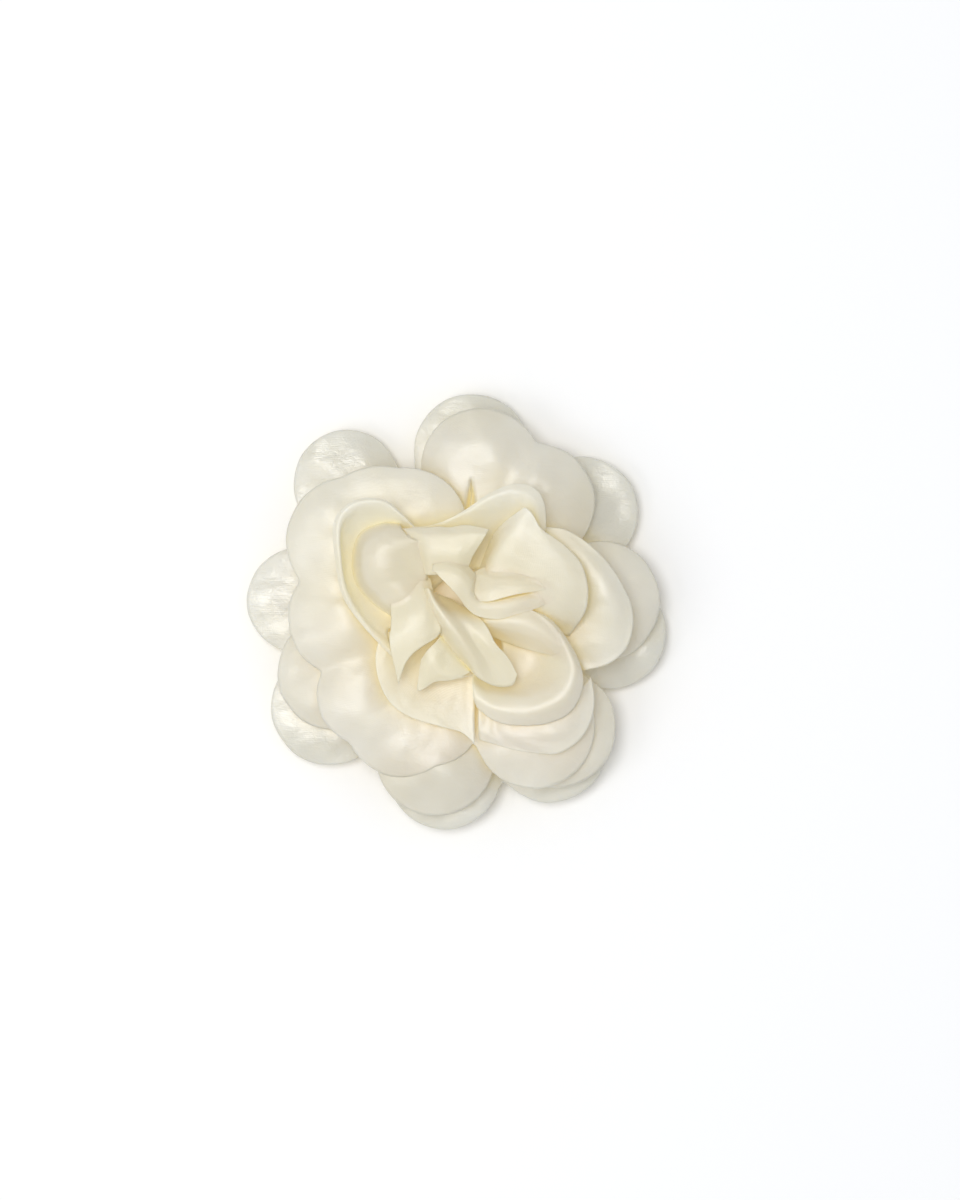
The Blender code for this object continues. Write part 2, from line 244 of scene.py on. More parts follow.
def texture(tree, kind, place, values, **settings):
    """A texture node, laid out by the place that it is given."""
    node = add_node(tree, kind, values, **settings)
    tree.links.new(place, node.inputs["Vector"])
    return node


def in_range(tree, amount, values, **settings):
    """An amount brought from one range to another."""
    node = add_node(tree, "ShaderNodeMapRange", values, **settings)
    tree.links.new(amount, node.inputs["Value"])
    return node.outputs["Result"]


def heights(tree, first, share, second):
    """A share of the first height, added to the second."""
    node = add_node(tree, "ShaderNodeMath", {1: share}, operation="MULTIPLY_ADD")
    tree.links.new(first, node.inputs[0])
    tree.links.new(second, node.inputs[2])
    return node.outputs["Value"]


def bumped(tree, height, strength, distance, normal=None):
    """The normals of a surface with this height on it, and with those of an earlier bump."""
    node = add_node(tree, "ShaderNodeBump", {"Strength": strength, "Distance": distance})
    tree.links.new(height, node.inputs["Height"])
    if normal:
        tree.links.new(normal, node.inputs["Normal"])
    return node.outputs["Normal"]


def tones(tree, amount, stops):
    """The colour for an amount, from a ramp of (position, colour) stops."""
    ramp = add_node(tree, "ShaderNodeValToRGB")
    elements = ramp.color_ramp.elements
    for element, (position, colour) in zip(elements, stops):
        element.position, element.color = position, (*colour, 1)
    for position, colour in stops[2:]:
        elements.new(position).color = (*colour, 1)
    tree.links.new(amount, ramp.inputs["Fac"])
    return ramp.outputs["Color"]


PAINTED_WARMTH_RADIUS = 0.012  # the satin has its middle colour up to here, in metres; that warmth is painted bounce light
PALE_RADIUS = 0.045  # and its rim colour from here on
PAINTED_FOLD_REACH = 0.015  # how far the walls of a fold may be from each other for it to take the painted gold
PAINTED_FOLD_GOLD = (0.93, 0.82, 0.46)  # painted gold in the folds, standing in for the light that passes through the satin and bounces inside its folds
PAINTED_FOLD_SHARE = 0.75  # how much of that painted gold the deepest folds take on
PAINTED_FOLD_GLOW = 0.09  # strength of the painted glow in deep folds, standing in for the light that they get through the cloth round them


def satin(name, middle, rim, roughness, sheen, crinkle, streaks):
    """Satin: warmer towards the flower's middle, which is painted bounce light, paler towards its
    rim, and painted gold with a painted glow in its deep folds, where light passes through and
    bounces in the cloth;
    with cloudy colour, fine creases, streaks drawn across the cloth and a warp-faced weave.
    Crinkle and streaks are the strengths of the creases and of the streaks."""
    material, tree, shader = new_material(name)
    link = tree.links.new
    place = add_node(tree, "ShaderNodeTexCoord").outputs["Object"]
    level = add_node(tree, "ShaderNodeVectorMath", {1: (1, 1, 0)}, operation="MULTIPLY")
    link(place, level.inputs[0])
    radius = add_node(tree, "ShaderNodeVectorMath", operation="LENGTH")
    link(level.outputs["Vector"], radius.inputs[0])
    # Painted bounce light and shade: the satin is warmer and more golden towards the flower's
    # middle, where its layers shade and light one another, and paler towards its rim
    outwards = in_range(
        tree,
        radius.outputs["Value"],
        {"From Min": PAINTED_WARMTH_RADIUS, "From Max": PALE_RADIUS},
        interpolation_type="SMOOTHSTEP",
    )
    base = add_node(tree, "ShaderNodeMix", {6: (*middle, 1), 7: (*rim, 1)}, data_type="RGBA")
    link(outwards, base.inputs[0])
    clouds = texture(
        tree, "ShaderNodeTexNoise", place, {"Scale": 42.0, "Detail": 2.0, "Roughness": 0.5}
    )
    cloudy = tones(
        tree, clouds.outputs["Fac"], [(0.32, (0.90, 0.885, 0.84)), (0.68, (1.0, 1.0, 1.0))]
    )
    toned = add_node(tree, "ShaderNodeMix", {0: 1.0}, data_type="RGBA", blend_type="MULTIPLY")
    link(base.outputs[2], toned.inputs[6])
    link(cloudy, toned.inputs[7])
    # Painted shade: where ambient occlusion finds a deep fold, the colour turns to the painted
    # gold
    fold_occlusion = add_node(tree, "ShaderNodeAmbientOcclusion", {"Distance": PAINTED_FOLD_REACH}, samples=8)
    painted_gold_share = in_range(
        tree,
        fold_occlusion.outputs["AO"],
        {"From Min": 0.6, "From Max": 0.1, "To Min": 0, "To Max": PAINTED_FOLD_SHARE},
    )
    painted_gold_mix = add_node(tree, "ShaderNodeMix", {7: (*PAINTED_FOLD_GOLD, 1)}, data_type="RGBA")
    link(painted_gold_share, painted_gold_mix.inputs[0])
    link(toned.outputs[2], painted_gold_mix.inputs[6])
    link(painted_gold_mix.outputs[2], shader.inputs["Base Color"])
    # Painted glow: the deep folds give off a little gold light of their own
    painted_glow = add_node(tree, "ShaderNodeMath", {1: PAINTED_FOLD_GLOW}, operation="MULTIPLY")
    link(painted_gold_share, painted_glow.inputs[0])
    link(painted_glow.outputs["Value"], shader.inputs["Emission Strength"])

    creases = texture(
        tree,
        "ShaderNodeTexNoise",
        place,
        {"Scale": 380.0, "Detail": 4.0, "Roughness": 0.6, "Distortion": 0.8},
    )
    cloth = add_node(tree, "ShaderNodeUVMap", uv_map="cloth").outputs["UV"]
    warp = texture(
        tree,
        "ShaderNodeTexWave",
        cloth,
        {"Scale": 1.1, "Distortion": 0.6, "Detail": 1.0, "Detail Scale": 3.0},
        bands_direction="X",
    )
    weft = texture(
        tree,
        "ShaderNodeTexWave",
        cloth,
        {"Scale": 0.55, "Distortion": 0.8, "Detail": 1.0, "Detail Scale": 2.0},
        bands_direction="Y",
    )
    weave = heights(tree, warp.outputs["Fac"], 0.5, weft.outputs["Fac"])
    gloss = in_range(
        tree, creases.outputs["Fac"], {"To Min": roughness - 0.06, "To Max": roughness + 0.1}
    )
    link(gloss, shader.inputs["Roughness"])

    across = texture(
        tree, "ShaderNodeMapping", place, {"Scale": (130, 480, 300), "Rotation": (0, 0, 0.9)}
    )
    streak = texture(
        tree,
        "ShaderNodeTexNoise",
        across.outputs["Vector"],
        {"Scale": 1.0, "Detail": 4.0, "Distortion": 1.6},
    )
    drawn = bumped(tree, streak.outputs["Fac"], streaks, 0.0006)
    creased = bumped(tree, creases.outputs["Fac"], crinkle, 0.0005, drawn)
    woven = bumped(tree, weave, 0.2, 0.00005, creased)
    link(woven, shader.inputs["Normal"])
    finish = {
        # the colour of the painted glow in the deep folds
        "Emission Color": (*PAINTED_FOLD_GOLD, 1),
        "Sheen Weight": sheen,
        "Sheen Roughness": 0.35,
        "Sheen Tint": (1.0, 0.98, 0.94, 1.0),
        "Subsurface Weight": 0.7,
        "Subsurface Radius": (1.0, 0.92, 0.75),
        "Subsurface Scale": 0.001,
        "Specular IOR Level": 1.0,
    }
    set_values(shader, finish)
    return material


OUTER_SATIN = satin(
    "outer_satin_cloth",
    middle=(0.68, 0.65, 0.55),
    rim=(0.69, 0.68, 0.615),
    roughness=0.3,
    sheen=0.25,
    crinkle=0.4,
    streaks=0.16,
)
PETAL_SATIN = satin(
    "petal_satin_cloth",
    middle=(0.85, 0.782, 0.582),
    rim=(0.765, 0.729, 0.619),
    roughness=0.39,
    sheen=0.2,
    crinkle=0.12,
    streaks=0.1,
)


def felt():
    """Pressed wool felt: matted fibres, fuzzy at a glancing angle."""
    material, tree, shader = new_material("pressed_felt")
    link = tree.links.new
    place = add_node(tree, "ShaderNodeTexCoord").outputs["Object"]
    fibres = texture(
        tree,
        "ShaderNodeTexNoise",
        place,
        {"Scale": 900.0, "Detail": 6.0, "Roughness": 0.75, "Distortion": 3.0},
    )
    tufts = texture(tree, "ShaderNodeTexNoise", place, {"Scale": 210.0, "Detail": 3.0})
    matted = heights(tree, tufts.outputs["Fac"], 0.5, fibres.outputs["Fac"])
    stops = [(0.45, (0.62, 0.58, 0.48)), (0.95, (0.86, 0.83, 0.74)), (0.7, (0.76, 0.72, 0.62))]
    link(tones(tree, matted, stops), shader.inputs["Base Color"])
    link(bumped(tree, matted, 0.8, 0.0003), shader.inputs["Normal"])
    finish = {
        "Roughness": 0.95,
        "Sheen Weight": 0.6,
        "Sheen Roughness": 0.5,
        "Specular IOR Level": 0.2,
    }
    set_values(shader, finish)
    return material


def steel(name, colour, grain_along, roughness):
    """Plated steel, with drawn or brushed grain, cloudy gloss and a few small pits."""
    material, tree, shader = new_material(name)
    link = tree.links.new
    place = add_node(tree, "ShaderNodeTexCoord").outputs["Object"]
    stretch = texture(tree, "ShaderNodeMapping", place, {"Scale": grain_along})
    grain = texture(
        tree,
        "ShaderNodeTexNoise",
        stretch.outputs["Vector"],
        {"Scale": 1.0, "Detail": 5.0, "Roughness": 0.65},
    )
    clouds = texture(tree, "ShaderNodeTexNoise", place, {"Scale": 160.0, "Detail": 4.0})
    dark = tuple(0.8 * channel for channel in colour)
    cloudy = tones(tree, clouds.outputs["Fac"], [(0.35, dark), (0.6, colour)])
    link(cloudy, shader.inputs["Base Color"])
    gloss = in_range(
        tree, grain.outputs["Fac"], {"To Min": roughness - 0.1, "To Max": roughness + 0.16}
    )
    link(gloss, shader.inputs["Roughness"])
    pits = texture(tree, "ShaderNodeTexVoronoi", place, {"Scale": 420.0})
    pitted = in_range(tree, pits.outputs["Distance"], {"From Min": 0.0, "From Max": 0.12})
    surface = heights(tree, pitted, 0.25, grain.outputs["Fac"])
    link(bumped(tree, surface, 0.18, 0.00008), shader.inputs["Normal"])
    set_values(shader, {"Metallic": 1.0})
    return material


def set_glue():
    """Hot-melt glue, set: cloudy, a little see-through and smooth, with pulled ripples."""
    material, tree, shader = new_material("set_glue")
    link = tree.links.new
    place = add_node(tree, "ShaderNodeTexCoord").outputs["Object"]
    ripples = texture(
        tree, "ShaderNodeTexNoise", place, {"Scale": 240.0, "Detail": 2.0, "Distortion": 1.2}
    ).outputs["Fac"]
    stops = [(0.3, (0.66, 0.61, 0.48)), (0.7, (0.82, 0.79, 0.68))]
    link(tones(tree, ripples, stops), shader.inputs["Base Color"])
    link(bumped(tree, ripples, 0.5, 0.0003), shader.inputs["Normal"])
    finish = {
        "Roughness": 0.28,
        "Subsurface Weight": 0.6,
        "Subsurface Radius": (1.0, 0.8, 0.5),
        "Subsurface Scale": 0.0012,
    }
    set_values(shader, finish)
    return material


def twisted_thread():
    """Polyester thread: plies twisted round the Z axis."""
    material, tree, shader = new_material("twisted_thread")
    link = tree.links.new
    place = add_node(tree, "ShaderNodeTexCoord").outputs["Object"]
    plies = texture(
        tree,
        "ShaderNodeTexWave",
        place,
        {"Scale": 420.0, "Distortion": 1.0, "Detail": 2.0},
        bands_direction="DIAGONAL",
    ).outputs["Fac"]
    stops = [(0.0, (0.6, 0.54, 0.4)), (0.6, (0.88, 0.83, 0.7))]
    link(tones(tree, plies, stops), shader.inputs["Base Color"])
    link(bumped(tree, plies, 0.7, 0.0001), shader.inputs["Normal"])
    set_values(shader, {"Roughness": 0.55, "Sheen Weight": 0.3})
    return material


# ---------------------------------------------------------------- rings of joined petals

RING_COLUMNS = 420
RING_ROWS = 56
HUB_RADIUS = 0.9  # of the small hole in a sheet's middle, round the stitches
ROW_CROWDING = 0.85  # under 1, the rows lie closer together towards the rim
CUT_ERROR = 0.3  # how far the hand-cut outline strays
CUT_COUNT = 9  # how closely those errors follow each other round the ring
CUT_SEED = 5
LOBE_JOIN = 9.0  # how sharply one lobe gives way to the next
LOBE_REACH = 9.0  # how far a lobe's height is felt
CURL_FROM = 0.72  # where a lobe's edge starts to curl down, in lobe radii
CURL_GAIN = 12  # brings a curl of 1 to about 1 mm at the lobe's edge
BOW_SIZE = 11.0  # distance between the soft bows of a ring
BOW_SHARE = 1.1  # what the bows, the folds and the wrinkles each add to the height
FOLD_COUNT = 3.4  # how closely the folds that run out from the middle follow each other
FOLD_SHARE = 0.7
FOLD_WANDER = 0.35  # how much those folds change on their way out
WRINKLE_COUNT = 2.7  # small wrinkles to a bow
WRINKLE_SHARE = 0.16
RING_RADIUS = 57  # of the cloth that a ring's weave is laid on


def lobe_field(xy, lobes):
    """How far each point is from the nearest lobe's middle, in lobe radii, smoothly joined."""
    total = 0
    for x, y, radius, *_ in lobes:
        rho = np.hypot(xy[..., 0] - x, xy[..., 1] - y) / radius
        total = total + np.exp(-LOBE_JOIN * rho)
    return -np.log(total) / LOBE_JOIN


def lobe_blend(xy, lobes, column):
    """The lobes' values in one column, blended by how near each lobe is."""
    top = bottom = 0
    for lobe in lobes:
        away = np.hypot(xy[..., 0] - lobe[0], xy[..., 1] - lobe[1])
        near = np.exp(-((away / LOBE_REACH) ** 2))
        top = top + lobe[column] * near
        bottom = bottom + near
    return top / np.maximum(bottom, 1e-12)


def ring_outline(lobes, inner):
    """The angle of each of the ring's columns, and how far the ring reaches there."""
    angles = np.arange(RING_COLUMNS) * 2 * math.pi / RING_COLUMNS
    reach = np.full(RING_COLUMNS, float(inner))
    for x, y, radius, *_ in lobes:
        along = x * np.cos(angles) + y * np.sin(angles)
        chord = radius**2 - (x * x + y * y) + along**2
        far = np.where(chord > 0, along + np.sqrt(np.maximum(chord, 0)), 0)
        reach = np.maximum(reach, far)
    weights = np.array([1, 2, 3, 2, 1]) / 9
    near = [np.roll(reach, shift) for shift in (-2, -1, 0, 1, 2)]
    circle = np.stack([np.cos(angles), np.sin(angles), 0 * angles], axis=1)
    ragged = CUT_ERROR * noise_grid(circle[None] * CUT_COUNT + inner, CUT_SEED)[0]
    return angles, np.tensordot(weights, near, axes=1) + ragged


def slit_depth(xy, slit):
    """How deep a slit is at each point. A slit runs from its tip to its wide end, both as
    (x, y), with half its width and its depth there. It fades out past its wide end."""
    (x0, y0), (x1, y1), half_width, depth = slit
    run = math.hypot(x1 - x0, y1 - y0)
    ahead = ((xy[..., 0] - x0) * (x1 - x0) + (xy[..., 1] - y0) * (y1 - y0)) / run**2
    aside = ((xy[..., 1] - y0) * (x1 - x0) - (xy[..., 0] - x0) * (y1 - y0)) / run
    width = half_width * np.clip(ahead, 0.02, 1)
    return depth * np.clip(ahead * 3, 0, 1) * (ahead < 1.6) * np.exp(-((aside / width) ** 2))


def ring_grid(lobes, inner, hub_z, flat_to, dome, curl, bow, seed, slit=None):
    """A ring of lobes as a grid. Each lobe is (x, y, radius, height of its middle). The ring
    is flat out to flat_to, and inner is where its petals part. Dome, curl and bow are how much
    each lobe bulges, turns down at its edge and wanders from flat."""
    angles, reach = ring_outline(lobes, inner)
    share = np.linspace(0, 1, RING_ROWS)[:, None] ** ROW_CROWDING
    r = HUB_RADIUS + (reach[None, :] - HUB_RADIUS) * share
    xy = np.stack([r * np.cos(angles), r * np.sin(angles)], axis=2)
    middle = lobe_blend(xy, lobes, 3)
    distance = np.array([math.hypot(lobe[0], lobe[1]) for lobe in lobes]).mean()
    out = np.clip((r - flat_to) / (distance - flat_to), 0, 1.6)
    rise = np.where(out < 1, out**2 * (3 - 2 * out), 1)
    rho = np.clip(lobe_field(xy, lobes), 0, 1.3)
    z = hub_z + (middle - hub_z) * rise
    z = z + dome * (1 - rho**2) * rise
    z = z - curl * np.clip(rho - CURL_FROM, 0, 1) ** 2 * rise * CURL_GAIN
    where = np.concatenate([xy / BOW_SIZE, np.zeros(xy.shape[:2] + (1,))], axis=2)
    bows = noise_grid(where, seed)
    circle = np.stack([np.cos(angles), np.sin(angles), 0 * angles], axis=1)
    fold = np.repeat(circle[None] * FOLD_COUNT, RING_ROWS, 0)
    folds = noise_grid(fold + where * FOLD_WANDER, seed + 1)
    wrinkles = noise_grid(where * WRINKLE_COUNT, seed + 2)
    uneven = BOW_SHARE * bows + FOLD_SHARE * folds + WRINKLE_SHARE * wrinkles
    z = z + bow * rise * uneven
    if slit:
        z = z - slit_depth(xy, slit)
    return np.concatenate([xy, z[..., None]], axis=2)


RINGS = {
    "petal_ring_1": {
        "lobes": [
            (40.3, -5.6, 15.0, 6.0),
            (33.4, 26.0, 14.6, 6.0),
            (4.2, 41.7, 15.4, 6.5),
            (-28.6, 33.4, 14.3, 5.5),
            (-41.2, 2.8, 13.9, 5.5),
            (-33.3, -25.4, 15.3, 5.5),
            (-3.0, -42.4, 15.0, 7.2),
            (24.6, -35.2, 15.2, 6.8),
        ],
        "inner": 36,
        "hub_z": 12.8,
        "flat_to": 14,
        "dome": 1.2,
        "curl": 0.5,
        "bow": 1.6,
        "seed": 13,
    },
    "petal_ring_2": {
        "lobes": [
            (37.8, 2.6, 15.7, 11.0),
            (20.8, 28.4, 15.6, 12.0),
            (6.6, 37.3, 15.9, 12.0),
            (-20.5, 21.5, 13.0, 11.0),
            (-29.0, 3.0, 12.5, 11.0),
            (-32.0, -16.2, 14.8, 10.5),
            (-5.4, -38.0, 15.6, 13.0),
            (26.0, -30.5, 15.9, 12.0),
        ],
        "inner": 30,
        "hub_z": 14.2,
        "flat_to": 12,
        "dome": 4.6,
        "curl": 0.8,
        "bow": 1.4,
        "seed": 14,
        "slit": ((4.1, 34.8), (3.9, 26.0), 1.3, 4.5),
    },
    "petal_ring_3": {
        "lobes": [
            (28.0, 1.0, 13.0, 16.5),
            (-12.6, 21.6, 15.6, 18.5),
            (-20.0, 20.4, 17.4, 18.5),
            (-27.5, 18.2, 16.7, 18.0),
            (-28.0, -1.6, 15.7, 17.5),
            (-23.4, -22.0, 12.9, 16.5),
            (-14.2, -28.8, 14.5, 16.0),
            (-6.0, -27.8, 12.4, 16.0),
            (20.5, -30.4, 15.8, 16.8),
        ],
        "inner": 24,
        "hub_z": 16.0,
        "flat_to": 8,
        "dome": 3.4,
        "curl": 0.5,
        "bow": 1.2,
        "seed": 15,
    },
}


def make_ring(name, material):
    """One ring of joined petals, laid on the pile."""
    grid = lay_on_pile(ring_grid(**RINGS[name]), closed=True)

    def cloth(v, u):
        reach = RING_RADIUS * v
        turn = 2 * math.pi * u
        return (reach * math.cos(turn), reach * math.sin(turn))

    obj = cloth_object(f"{name}_cloth", grid, cloth, material, closed=True)
    declare(obj, name)


# ---------------------------------------------------------------- single petals

PETAL_ROWS = 40
PETAL_COLUMNS = 52
PETAL_SIDE = 40  # of the cloth that a single petal's weave is laid on
PETAL_FOLD = 7.0  # distance between a petal's folds
PETAL_SEED = 20


def petal_grid(lines):
    """A petal drawn through its lines, which run side by side from its base to its rim."""
    u, v = np.linspace(0, 1, PETAL_COLUMNS), np.linspace(0, 1, PETAL_ROWS)
    sections = [through(line, u) for line in lines]
    ribs = [through([section[k] for section in sections], v) for k in range(PETAL_COLUMNS)]
    grid = np.stack(ribs, axis=1)
    grid[:, :, 2] += (FOLD_STRETCH - 1) * np.maximum(grid[:, :, 2] - FOLD_FOOT, 0)
    return grid


def crumpled(grid, amount, size, seed):
    """The petal with soft folds along its ribs and smaller wrinkles, both fading towards the
    base and a little towards the rim."""
    rows, columns = grid.shape[:2]
    width = np.linalg.norm(np.diff(grid[-1], axis=0), axis=1).sum()
    length = np.linalg.norm(np.diff(grid[:, columns // 2], axis=0), axis=1).sum()
    u, v = np.meshgrid(np.linspace(0, width, columns), np.linspace(0, length, rows))
    long_folds = noise_grid(np.stack([u / size, v / (2.6 * size), 0 * u], axis=2), seed)
    small = noise_grid(np.stack([u / (0.45 * size), v / (0.7 * size), 0 * u], axis=2), seed + 3)
    fade = 0.35 + 0.65 * np.sin(np.pi * np.clip(v / length, 0, 0.85))
    shift = amount * (long_folds + 0.3 * small) * fade
    return grid + normals_of(grid) * shift[..., None]


